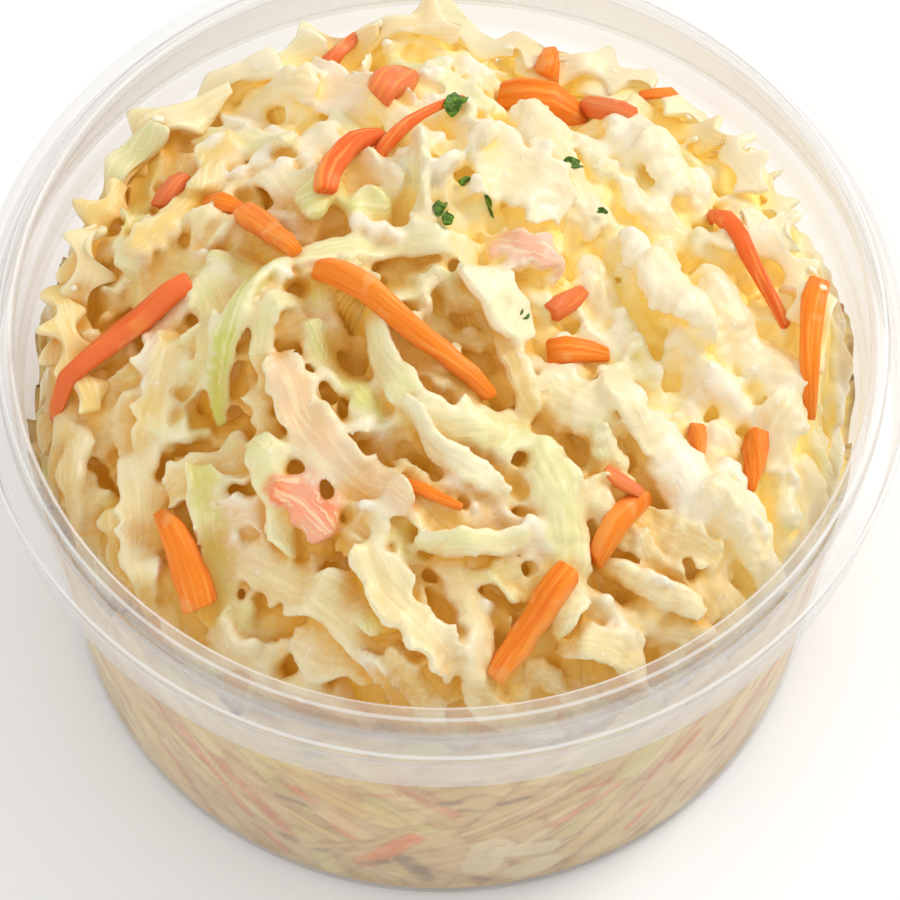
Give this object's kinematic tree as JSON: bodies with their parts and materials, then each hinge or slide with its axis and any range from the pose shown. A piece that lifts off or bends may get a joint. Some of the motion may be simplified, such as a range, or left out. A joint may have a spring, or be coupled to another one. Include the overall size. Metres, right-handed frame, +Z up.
{
  "type": "coleslaw in a round tub",
  "caption": "Creamy coleslaw of ruffled cabbage, carrot sticks and herb flecks, heaped high in a round see-through deli tub with a stepped rim and no lid.",
  "frame": {"origin": "middle of the tub's flat base, on the surface it stands on", "axes": "+Z up out of the tub's mouth; -Y towards the viewer; the heap dips at the back, on the +X and +Y side"},
  "size_m": [0.1174, 0.1174, 0.0781],
  "materials": {
    "tub": "translucent moulded polypropylene, softly frosted, glossy along the rim's edges",
    "coleslaw": "moist, satin cream dressing over soft cut vegetables",
    "carrot": "moist satin",
    "herb": "moist satin"
  },
  "bodies": {
    "root": {"tub": "tub", "coleslaw": "coleslaw"}
  },
  "joints": []
}
